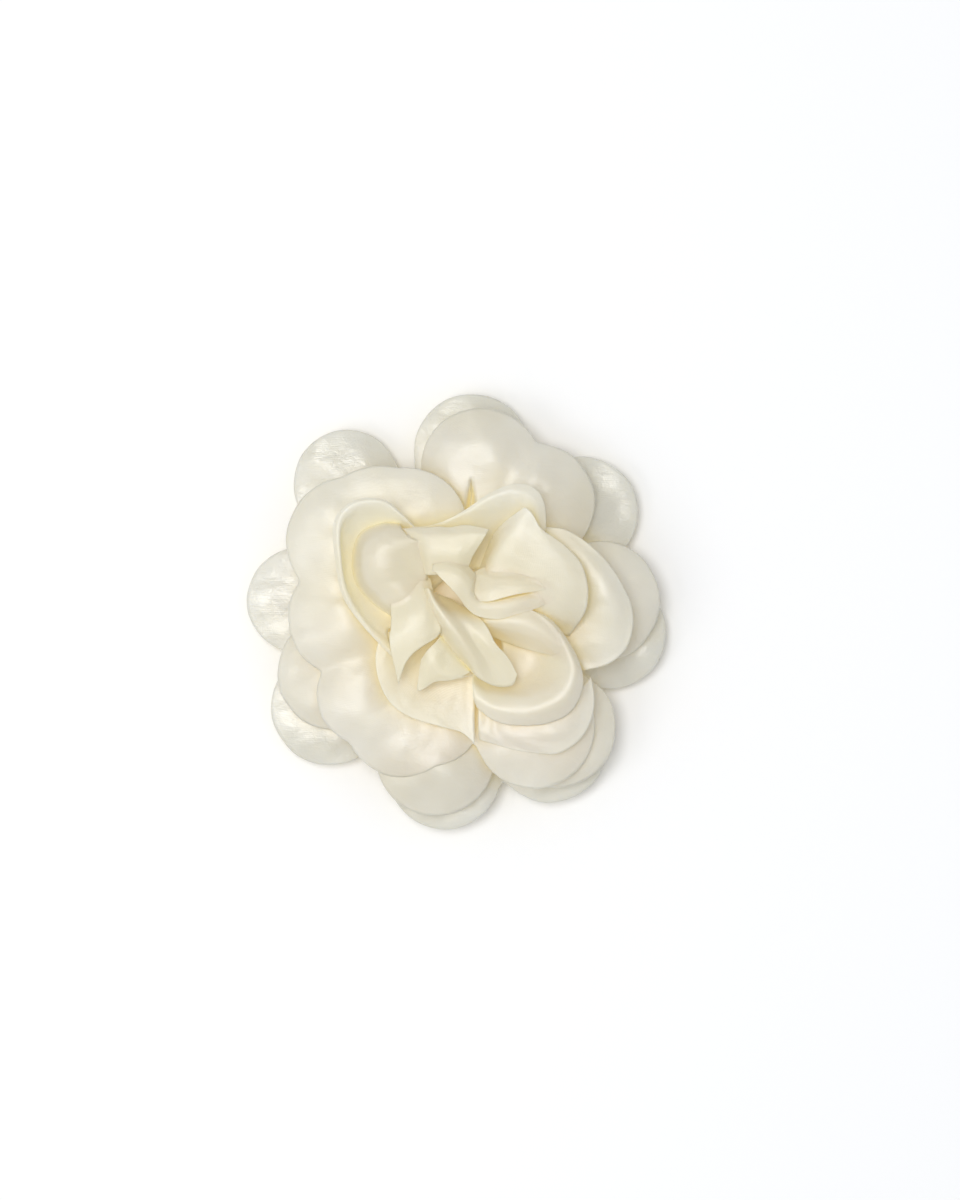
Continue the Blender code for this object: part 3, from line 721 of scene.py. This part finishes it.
# From the bottom of the pile to its top. Each petal is drawn through lines of points
# (x, y, height) that run from its start edge to its end edge, the base line first and the
# rim line last. Tucked edges are drawn down between the sheets under them, as far in as
# reach says, and folds is the height of the petal's own small folds.
PETALS = [
    {
        "name": "petal_ring_3_right",
        "node": None,
        "lines": [
            [(10, 9, 19), (12, 5, 18.6), (12, 0, 18.4), (12, -4, 18.4), (12, -8, 18.6)],
            [(19, 16, 20.5), (24, 10, 20.8), (27.5, 3.5, 20.6), (26, -3, 17.8), (21, -11, 17.6)],
            [(23, 20, 22), (31.5, 14, 23.4), (38.5, 4.5, 24), (38, -5, 21.4), (30, -12.5, 18.6)],
            [
                (22.6, 21.8, 22), (27.6, 21.4, 22.4), (31.5, 19.6, 22.8), (35.5, 16.6, 23),
                (39.4, 12.6, 22.8), (43, 7.2, 22.2), (45.5, 1.8, 21.6), (46.1, -3, 21),
                (45.1, -8.1, 20.4), (42.6, -11.7, 20), (38.6, -14.2, 19.6), (33, -15.5, 19.2),
            ],
        ],
        "tucked": ["base"],
        "folds": 0.5,
    },
    {
        "name": "petal_ring_3_lower_right",
        "node": None,
        "lines": [
            [(5.8, -14, 19), (8, -13.5, 19), (13.5, -12, 19), (18, -9, 19)],
            [(5.9, -23.5, 20), (13, -24.5, 21), (23, -22, 21.6), (28, -14, 21)],
            [(5.9, -30, 20.2), (14, -32.5, 21.2), (27, -30, 22.2), (33, -19, 21.6)],
            [
                (6, -33.4, 19.4), (10.5, -34.6, 19.6), (16, -36.2, 20.2), (22, -37, 20.4),
                (26.8, -36.9, 20.6), (31.4, -34.2, 20.8), (34.3, -30.4, 20.8),
                (35.7, -26.6, 20.8), (36, -22.6, 20.8), (35.2, -17, 20.6),
            ],
        ],
        "tucked": ["base"],
        "folds": 0.6,
    },
    {
        "name": "curled_petal_5_lower_left",
        "node": "curled_petal_5",
        "lines": [
            [(-5.5, -2, 20), (-1, -4.5, 19.5), (3.8, -6, 19.5)],
            [(-13, -4, 21.5), (-11, -13, 20.6), (-3, -18, 20.2), (4.9, -20, 20.4)],
            [(-17.6, -5.4, 22.8), (-17, -19, 22), (-7, -25.6, 21.4), (4.9, -28, 21.2)],
            [
                (-19.4, -5.5, 22.8), (-20.8, -12.4, 22.8), (-19.4, -19.5, 22.6),
                (-15.9, -24.9, 22.2), (-10.4, -28.1, 21.8), (-3.4, -30.1, 21.6),
                (1.5, -31.5, 21.4), (4.9, -34.4, 21.2),
            ],
        ],
        "folds": 0.45,
    },
    {
        "name": "curled_petal_1_upper_left",
        "node": "curled_petal_1",
        "lines": [
            [(-2, 9, 20), (-6, 5, 19.5), (-6.5, 0, 19.5), (-5, -4, 19.8)],
            [
                (-10, 18.6, 23.5), (-17, 21.5, 23.3), (-24.5, 21, 23), (-27.6, 15, 22.8),
                (-26.6, 8, 22.6), (-23, 1.5, 22.4), (-17, -4.5, 22.2),
            ],
            [
                (-10, 20.6, 25.2), (-14, 24.2, 26.4), (-19, 27.3, 27), (-25.4, 27, 27.2),
                (-29.6, 22.6, 27), (-29.7, 13.5, 26.6), (-28.2, 5, 25.8), (-23.4, -2.8, 24.8),
                (-16, -10.5, 23.4),
            ],
            [
                (-10.4, 21.6, 25), (-13.6, 25, 26.2), (-18.6, 28.8, 26.8), (-26.2, 28.6, 26.9),
                (-31.4, 23.2, 26.6), (-31.2, 14, 26.2), (-29.4, 4.4, 25.4), (-24.2, -3.6, 24.6),
                (-15.8, -12.6, 23),
            ],
        ],
        "folds": 0.3,
    },
    {
        "name": "curled_petal_2_top",
        "node": "curled_petal_2",
        "lines": [
            [(-2, 10, 20.5), (2, 10.5, 20), (6, 10.5, 20), (9.5, 8.5, 20)],
            [
                (-8, 19, 24.5), (-3, 19.5, 24.4), (3, 20.5, 24), (9, 22.5, 23.8),
                (14, 23, 24), (18, 21.5, 24.2), (20.5, 17.5, 24),
            ],
            [
                (-11, 21, 25), (-4, 22, 25.6), (3, 25, 26.4), (9.5, 28.6, 27.4),
                (15, 30, 27.6), (20, 28, 26.8), (22, 20, 24.8),
            ],
            [
                (-12.5, 21.8, 24.8), (-8.5, 21.9, 25.3), (-5, 22.6, 25.6), (-1.5, 24, 26),
                (2, 25.9, 26.4), (5.4, 28.2, 26.9), (8.3, 30.2, 27.1), (11.5, 31.8, 27.2),
                (15, 32.8, 27.2), (18.7, 32.6, 26.9), (21.5, 30.8, 26.5), (22.9, 27.6, 25.9),
                (23.3, 24, 25.2), (23.4, 20.5, 24.4),
            ],
        ],
        "folds": 0.4,
    },
    {
        "name": "curled_petal_3_right",
        "node": "curled_petal_3",
        "lines": [
            [
                (6.5, 2, 21), (5.4, 8.3, 22.5), (6.2, 11, 22.5), (7.8, 15, 23),
                (9.6, 19.5, 24.8), (12.9, 23.2, 27), (17.8, 26.8, 29.3),
            ],
            [
                (9, 1, 22), (8.2, 8.5, 26.3), (9.4, 12, 27.2), (11.2, 16.2, 28),
                (13.7, 20, 28.6), (16.4, 23.2, 29.1), (19, 26, 29.7),
            ],
            [
                (14, -2, 22), (15.4, 4, 26.2), (18, 9, 27.8), (19.8, 13.5, 28.5),
                (20.2, 17.8, 29), (20.1, 21.2, 29.3), (20.1, 24.6, 29.6),
            ],
            [
                (22, -5, 21.4), (25, -0.4, 25.6), (28, 4.5, 27.5), (28.5, 9, 28.3),
                (27, 13.4, 28.8), (24.3, 17.2, 29), (21.2, 22.4, 29.4),
            ],
            [
                (29.5, -6.5, 21.4), (33.3, -0.6, 25.4), (34.2, 3.4, 26.9), (34, 7.4, 27.5),
                (32.2, 12.6, 27.9), (28, 17, 28.3), (22.4, 20.8, 29.1),
            ],
        ],
        "tucked": ["start"],
        "reach": 0.12,
        "folds": 0.2,
    },
    {
        "name": "curled_petal_4_cup",
        "node": "curled_petal_4",
        "lines": [
            [
                (6, 0, 22), (9, -3, 21.5), (11, -6, 21), (12, -9, 21), (11, -12, 21.2),
                (8.5, -14.6, 21.8), (4.7, -15.3, 23.2),
            ],
            [
                (13, -1.5, 23.2), (17.5, -4.4, 21.8), (20, -8.4, 21), (20.6, -13, 21),
                (18, -17.4, 21.4), (12.6, -19, 21.4), (7.4, -18.2, 21.6), (4.4, -17, 23.4),
            ],
            [
                (17, 0, 26.2), (23, -4.2, 25.9), (26.4, -9.4, 25.8), (28, -14.8, 25.8),
                (25, -20, 25.6), (18, -22.8, 25.2), (9.4, -21.8, 24.2), (4.3, -19.2, 24.6),
            ],
            [
                (18, 0.6, 26.6), (24.6, -3.2, 26.7), (29, -9.6, 26.8), (31, -16, 26.7),
                (27.6, -23.2, 26.5), (19, -26.6, 26), (10.2, -25.4, 25.3), (4.6, -22.2, 24.9),
            ],
            [
                (18.4, 0.9, 25.6), (24.6, -2.1, 25.4), (29.4, -8.2, 25),
                (32.5, -14.6, 24.6), (32.6, -20.6, 24.2), (29.6, -26.2, 23.7),
                (23.6, -29.1, 23.4), (14.8, -29.6, 23.2), (9.6, -28, 23.3),
                (5.4, -24.8, 23.8),
            ],
        ],
        "folds": 0.2,
    },
    {
        "name": "centre_petal_4_fold",
        "node": "centre_petal_4",
        "lines": [
            [
                (4.6, -1, 25), (9, 0.2, 25.8), (13, 0.9, 26.4), (18, 0.9, 26.8),
                (23, -1.7, 26.6), (27.6, -6.4, 26.2), (30, -12, 25.6),
            ],
            [
                (4.6, -3, 25.8), (9, -2.8, 27), (13.4, -3, 27.7), (18, -3.8, 27.8),
                (22.6, -5.8, 27.4), (27, -9, 26.8), (29.9, -12.4, 25.8),
            ],
            [
                (5, -5.4, 23.6), (8.4, -6.2, 24.2), (12, -7.6, 24.2), (15.6, -9, 24.2),
                (19.8, -10.2, 24.4), (24.6, -11.4, 24.8), (29.4, -13.2, 25),
            ],
        ],
        "tucked": ["end", "rim"],
        "reach": 0.35,
        "folds": 0.1,
    },
    {
        "name": "centre_petal_8_roll",
        "node": "centre_petal_8",
        "lines": [
            [
                (-5.5, 17.5, 27), (-5.5, 15.5, 27), (-5.5, 14, 26.8), (-6, 12.5, 26.6),
                (-6.6, 11, 26.4), (-7, 9.4, 26.2), (-7.4, 7.8, 26), (-7.8, 6, 25.8),
                (-8, 4, 25.6),
            ],
            [
                (-11, 18.5, 28.4), (-14, 17.6, 28.8), (-16.4, 16.4, 29), (-17.6, 14.4, 29),
                (-17.9, 12.2, 28.9), (-17.4, 9.6, 28.6), (-15.8, 7.2, 28.2), (-13.8, 5, 27.8),
                (-12, 3, 27.2),
            ],
            [
                (-13.4, 20.6, 27.4), (-17.6, 20.3, 27.9), (-20.8, 18.8, 28), (-22.6, 16.3, 28),
                (-23.2, 13, 27.8), (-22.8, 9.4, 27.4), (-21, 6, 27), (-18, 3, 26.6),
                (-15, 0.6, 26.2),
            ],
            [
                (-14.2, 22, 25.8), (-18.6, 21.9, 26), (-22.3, 20.5, 26), (-24.6, 17.8, 25.8),
                (-25.5, 13.9, 25.5), (-25.2, 9.6, 25), (-23.6, 5.8, 24.6), (-20.2, 2.4, 24.2),
                (-16.2, -0.6, 24),
            ],
            [
                (-14.4, 22.8, 23.6), (-18.9, 23, 23.6), (-23.2, 21.7, 23.2), (-26, 18.8, 22.8),
                (-27.2, 14, 22.4), (-26.8, 9.2, 22.2), (-25, 5.2, 22), (-21.2, 1.6, 22),
                (-16.6, -1.4, 22.2),
            ],
        ],
        "tucked": ["rim"],
        "reach": 0.12,
        "folds": 0.35,
    },
    {
        "name": "centre_petal_1_flag",
        "node": "centre_petal_1",
        "lines": [
            [
                (-8.8, 9.5, 26.4), (-6.8, 9.4, 27.4), (-4, 9.4, 27.8), (-1.5, 9.4, 28),
                (0.5, 9.6, 28), (2, 10, 27.6), (3, 10.6, 27),
            ],
            [
                (-9.9, 14, 28), (-7.5, 14.6, 28.9), (-3.8, 14.6, 29.4), (-1, 14.6, 29.6),
                (1.2, 14.6, 29.8), (2.9, 14.5, 29.6), (4.5, 14.4, 29),
            ],
            [
                (-11.8, 18.3, 28.4), (-8, 18.5, 29), (-3.5, 18.6, 29.4), (0, 18.6, 29.6),
                (3, 18.7, 29.8), (5.2, 18.7, 29.8), (7.1, 18.5, 29.4),
            ],
            [
                (-13.8, 21.4, 27.6), (-9, 21.5, 28.2), (-4.2, 21.8, 28.6), (-1.7, 21.6, 28.8),
                (2.1, 22.2, 29.2), (5.5, 21.8, 29.5), (8.6, 21.1, 29.6),
            ],
        ],
        "tucked": ["start", "rim"],
        "reach": 0.22,
        "folds": 0.3,
    },
    {
        "name": "centre_petal_6_lower",
        "node": "centre_petal_6",
        "lines": [
            [(-3.4, -5.4, 26), (-0.6, -8.2, 26), (1.8, -11.6, 25.6), (4.2, -15.2, 25)],
            [(-4.8, -7.6, 27.2), (-3, -10.6, 26.8), (-0.5, -13.6, 26.4), (3.4, -16, 25.6)],
            [(-7.2, -10, 27.4), (-6, -13.6, 27.4), (-3.5, -16.1, 27.1), (1.8, -16.8, 26)],
            [
                (-8.9, -12.5, 26.4), (-9.4, -15.8, 26), (-9.6, -20.6, 25.2),
                (-5.4, -18.3, 26.2), (-1.4, -17.8, 26.3), (4.2, -16.6, 25.4),
            ],
        ],
        "tucked": ["base"],
        "reach": 0.3,
        "folds": 0.3,
    },
    {
        "name": "centre_petal_7_left",
        "node": "centre_petal_7",
        "lines": [
            [(-17.6, 5.4, 26), (-12.5, 8.4, 27.2), (-9, 9.4, 27), (-6.6, 8.6, 26.4)],
            [(-16.8, 1.2, 26.6), (-12, 2.4, 28.1), (-8.5, 3.4, 28.4), (-5.4, 3.2, 27.4)],
            [(-16.6, -3.6, 27.4), (-12.2, -2.8, 28.8), (-8, -2.2, 28.9), (-4.4, -1.8, 27.8)],
            [(-16.9, -8.6, 27.6), (-13.6, -7, 28.6), (-8.4, -5.8, 28.8), (-3.8, -4.6, 28)],
            [
                (-14.7, -18.8, 25.6), (-13.8, -15.6, 26.8), (-12.5, -12.8, 27.7),
                (-10.4, -10.4, 28.2), (-7.8, -8.6, 28.3), (-5.2, -7, 28), (-3.8, -5.3, 27.6),
            ],
        ],
        "tucked": ["base"],
        "reach": 0.45,
        "folds": 0.3,
    },
    {
        "name": "centre_petal_5_scoop",
        "node": "centre_petal_5",
        "lines": [
            [
                (-8.6, 6, 26.4), (-8, 3, 26.6), (-6.4, -1.4, 27), (-4.4, -5.4, 27),
                (-2, -9.4, 26.4), (1, -12.8, 25.8), (4.2, -15.8, 25.4),
            ],
            [
                (-6.8, 5.8, 28), (-5.8, 3.2, 28.7), (-3.8, -0.2, 29.2), (-1.4, -3.8, 29.2),
                (1.6, -8, 28.8), (4.4, -12.6, 27.8), (6.8, -17.8, 25.8),
            ],
            [
                (-4.8, 4.4, 24.4), (-3.2, 2, 25.8), (-0.6, -0.4, 27.4), (2, -3.4, 28),
                (4.8, -7.6, 27.8), (8, -12.6, 26.7), (10.6, -19.5, 24.8),
            ],
            [
                (-2.6, 3.6, 22.4), (0, 1.6, 24.2), (2.8, -1, 26.8), (5.4, -4.4, 28),
                (8, -8.2, 28.2), (11.6, -12.8, 27), (14.6, -19.2, 24.8),
            ],
            [
                (-1, 3, 21), (2, 1, 23.2), (5.6, -1, 26.4), (8.2, -4.2, 27.8),
                (10.4, -8.4, 27.9), (13.6, -12, 27.1), (16, -16.4, 25.8),
            ],
        ],
        "tucked": ["base"],
        "reach": 0.2,
        "folds": 0.12,
    },
    {
        "name": "centre_petal_2_bud",
        "node": "centre_petal_2",
        "lines": [
            [
                (-5.8, 13, 28.4), (-2.6, 13.6, 28.8), (0.4, 13.4, 28.8), (2.8, 12, 28.8),
                (5, 9.4, 28.6), (5, 6.4, 28.2), (5.4, 4.6, 27.9), (9, 4, 27.8), (13, 4.6, 27.6),
                (18, 5.4, 27.4), (22, 5, 27.2), (25.6, 3.8, 27),
            ],
            [
                (-6, 10.6, 29.4), (-3.4, 10.4, 30), (-0.8, 9.8, 30.2), (1.8, 8.2, 30.2),
                (3.4, 6, 29.8), (4, 3.8, 29.3), (5.8, 1.8, 28.8), (8.8, 1.3, 28.6),
                (13, 1.6, 28.5), (17.6, 2.4, 28.3), (21.8, 2.8, 27.8), (25.7, 3.2, 27.2),
            ],
            [
                (-5.6, 10.6, 29.4), (-4, 8.8, 29.9), (-2.2, 7, 30), (-0.5, 5.2, 29.9),
                (1, 3.5, 29.5), (2.4, 1.4, 28.9), (4.6, -0.7, 28.4), (7.5, -1.7, 28.1),
                (11.4, -2, 28), (15.8, -0.8, 27.8), (20.6, 0.6, 27.5), (25.4, 2.5, 27),
            ],
        ],
        "tucked": ["base", "end"],
        "reach": 0.3,
        "folds": 0.1,
    },
    {
        "name": "centre_petal_3_wing",
        "node": "centre_petal_3",
        "lines": [
            [
                (3.6, 9.6, 27.6), (6.5, 11, 27), (9.5, 12, 27), (13, 12, 27.2),
                (17.5, 10.8, 27.4), (21.5, 9.2, 27.6), (25.4, 7.2, 28),
            ],
            [
                (3.8, 7.2, 28.6), (6.5, 8, 28.2), (9.5, 8.4, 28.2), (13, 8.5, 28.3),
                (17.5, 8, 28.4), (21.5, 7.3, 28.3), (25.5, 6.6, 28.2),
            ],
            [
                (4, 4.8, 29), (6.4, 5, 29.1), (9.4, 5.4, 29.2), (13, 5.9, 29.1), (17, 6.1, 29),
                (21.3, 6.2, 28.6), (25.5, 6.3, 28.2),
            ],
            [
                (4.2, 3.2, 29), (6.4, 2.6, 29.2), (9, 2.6, 29.4), (12.7, 3.6, 29.4),
                (16.5, 4.5, 29.1), (21, 5.2, 28.7), (25.4, 6, 28.2),
            ],
        ],
        "tucked": ["base", "start", "end"],
        "reach": 0.4,
        "folds": 0.1,
    },
]


def make_petal(number, facts):
    """One single petal, laid on the pile. It was cut from a round piece of cloth."""
    grid = crumpled(petal_grid(facts["lines"]), facts["folds"], PETAL_FOLD, PETAL_SEED + number)
    grid = lay_on_pile(grid, False, facts.get("tucked", ()), facts.get("reach", TUCK_REACH))

    def cloth(v, u):
        return (PETAL_SIDE * u, PETAL_SIDE * v)

    obj = cloth_object(facts["name"], grid, cloth, PETAL_SATIN)
    declare(
        obj, facts["node"],
    )


# ---------------------------------------------------------------- back of the flower

FELT_COLUMNS = 180
FELT_ROWS = 26
FELT_CUT = 0.008  # the disc's edge strays inwards by up to twice this share of its radius
FELT_UNEVEN = 0.05  # how far its face strays up and down
FELT_SEED = 71
FELT_SHARE = 0.92  # the felt's thickness beside its CAD solid's
COIL_STEPS = 40  # points to a turn
COIL_TURNS = 3.5
COIL_RADIUS = 1.9
COIL_PITCH = 0.85
WIRE_RADIUS = 0.35
LEG_INSET = 1  # the lower leg ends this much nearer the pin than the upper one


def make_felt():
    """The felt disc: its edge cut by hand, its face a little uneven."""
    low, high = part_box("felt_backing")
    reach = (high[0] - low[0]) / 2 / MM
    thick = FELT_SHARE * (high[2] - low[2])
    turns = np.arange(FELT_COLUMNS) * 2 * math.pi / FELT_COLUMNS
    circle = np.stack([np.cos(turns), np.sin(turns), 0 * turns], axis=1)
    cut = 1 - FELT_CUT * (1 + noise_grid(circle[None] * 2.5, FELT_SEED)[0])
    share = np.linspace(HUB_RADIUS / reach, 1, FELT_ROWS)[:, None]
    grid = circle[None] * (share * cut)[:, :, None] * reach
    uneven = FELT_UNEVEN * noise_grid(grid / 2.5, FELT_SEED + 1)
    grid[:, :, 2] = (low[2] + high[2]) / 2 / MM + uneven

    def cloth(v, u):
        turn = 2 * math.pi * u
        return (reach * v * math.cos(turn), reach * v * math.sin(turn))

    obj = cloth_object("felt_disc", grid, cloth, felt(), closed=True)
    obj.modifiers["thickness"].thickness = thick
    bevel = obj.modifiers.new("soft edge", "BEVEL")
    bevel.width = 0.25 * thick
    bevel.segments = 3
    declare(
        obj, "felt_backing",
    )


def make_spring(material):
    """The spring round the pin: a coil of wire between its two legs."""
    hinge = Vector(frame["record"]["behaviour"]["joints"][0]["pos_m"]) / MM
    low, high = (Vector(corner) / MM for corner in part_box("torsion_spring"))
    width = COIL_TURNS * COIL_PITCH
    steps = round(COIL_TURNS * COIL_STEPS)
    points = [Vector((low.x + WIRE_RADIUS, -width / 2, high.z - WIRE_RADIUS))]
    for step in range(steps + 1):
        turn = math.radians(90 - 360 * COIL_TURNS * step / steps)
        y = width * (step / steps - 0.5)
        ring = Vector((COIL_RADIUS * math.cos(turn), y, COIL_RADIUS * math.sin(turn)))
        points.append(hinge + ring)
    foot = low.x + LEG_INSET + WIRE_RADIUS
    points.append(Vector((foot, width / 2, low.z + WIRE_RADIUS)))
    curve = bpy.data.curves.new("wire", "CURVE")
    curve.dimensions = "3D"
    curve.bevel_depth = WIRE_RADIUS * MM
    curve.bevel_resolution = 4
    curve.use_fill_caps = True
    spline = curve.splines.new("POLY")
    spline.points.add(len(points) - 1)
    for point, place in zip(spline.points, points):
        point.co = (*(place * MM), 1)
    wire = bpy.data.objects.new("wire", curve)
    bpy.context.scene.collection.objects.link(wire)
    graph = bpy.context.evaluated_depsgraph_get()
    mesh = bpy.data.meshes.new_from_object(wire.evaluated_get(graph))
    bpy.data.objects.remove(wire)
    mesh.materials.clear()
    mesh.materials.append(material)
    mesh.shade_smooth()
    obj = bpy.data.objects.new("spring_wire", mesh)
    bpy.context.scene.collection.objects.link(obj)
    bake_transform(obj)
    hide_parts("torsion_spring")


def dress_cad_nodes():
    """Better materials on the CAD pieces that stay as they are."""
    brushed = steel("brushed_nickel", (0.74, 0.72, 0.69), (90, 1600, 1600), 0.32)
    turned = steel("turned_nickel", (0.7, 0.69, 0.67), (700, 60, 700), 0.28)
    looks = {
        "clip_top_plate": brushed,
        "clip_lower_jaw": brushed,
        "hinge_pin": turned,
        "glue_pad": set_glue(),
        "centre_thread": twisted_thread(),
    }
    for node, material in looks.items():
        for slot in frame["nodes"][node].material_slots:
            slot.material = material


# ---------------------------------------------------------------- stage, light and camera

CAMERA_HEIGHT = 1.2
CAMERA_OVER = (0.0063, 0.0029)  # the flower is a little left of and below the view's middle
VIEW_WIDTH = 0.2515  # of what the camera takes in at VIEW_HEIGHT, among the petals
VIEW_HEIGHT = 0.012
SENSOR_WIDTH = 36  # in millimetres, as Blender has it


def make_stage():
    """A plain pale floor."""
    material, _, shader = new_material("pale_floor")
    set_values(shader, {"Base Color": (0.965, 0.965, 0.965, 1), "Roughness": 0.9})
    bpy.ops.mesh.primitive_plane_add(size=6, location=(0, 0, -FLOOR_GAP * MM))
    floor = bpy.context.object
    floor.name = "floor"
    floor.data.materials.append(material)


def add_area_light(name, place, size, power, colour):
    """A round soft light that faces the flower."""
    light = bpy.data.lights.new(name, "AREA")
    light.shape = "DISK"
    light.size = size
    light.energy = power
    light.color = colour
    obj = bpy.data.objects.new(name, light)
    obj.location = place
    obj.rotation_euler = (-Vector(place)).to_track_quat("-Z", "Y").to_euler()
    bpy.context.scene.collection.objects.link(obj)


def make_lights():
    """A wide light overhead, a weaker one from the left, and an even studio all round."""
    add_area_light(
        "key", place=(-0.8, -0.3, 1.0), size=0.6, power=2.2, colour=(1.0, 0.985, 0.965)
    )
    add_area_light("top", place=(-0.2, 0.1, 1.4), size=0.65, power=9.3, colour=(1.0, 0.99, 0.98))
    world = bpy.data.worlds.new("studio")
    bpy.context.scene.world = world
    world.use_nodes = True
    background = world.node_tree.nodes["Background"]
    set_values(background, {"Color": (0.93, 0.96, 1.0, 1), "Strength": 0.56})


def make_camera():
    """A camera straight over the flower."""
    camera = bpy.data.cameras.new("camera")
    camera.sensor_fit = "HORIZONTAL"
    camera.sensor_width = SENSOR_WIDTH
    camera.lens = SENSOR_WIDTH * (CAMERA_HEIGHT - VIEW_HEIGHT) / VIEW_WIDTH
    obj = bpy.data.objects.new("camera", camera)
    obj.location = (*CAMERA_OVER, CAMERA_HEIGHT)
    bpy.context.scene.collection.objects.link(obj)
    bpy.context.scene.camera = obj
    bpy.context.scene.view_settings.view_transform = "Standard"


def let_light_through():
    """Enough bounces for light to pass through several layers of satin and out again."""
    bpy.context.scene.cycles.diffuse_bounces = 14
    bpy.context.scene.cycles.max_bounces = 18


# ---------------------------------------------------------------- the whole thing

make_stage()
make_lights()
make_camera()
let_light_through()
make_ring(
    "petal_ring_1", OUTER_SATIN
)
make_ring(
    "petal_ring_2", PETAL_SATIN
)
make_ring(
    "petal_ring_3", PETAL_SATIN
)
for number, facts in enumerate(PETALS):
    make_petal(number, facts)
make_felt()
make_spring(steel("spring_steel_wire", (0.55, 0.54, 0.53), (300, 300, 300), 0.3))
dress_cad_nodes()
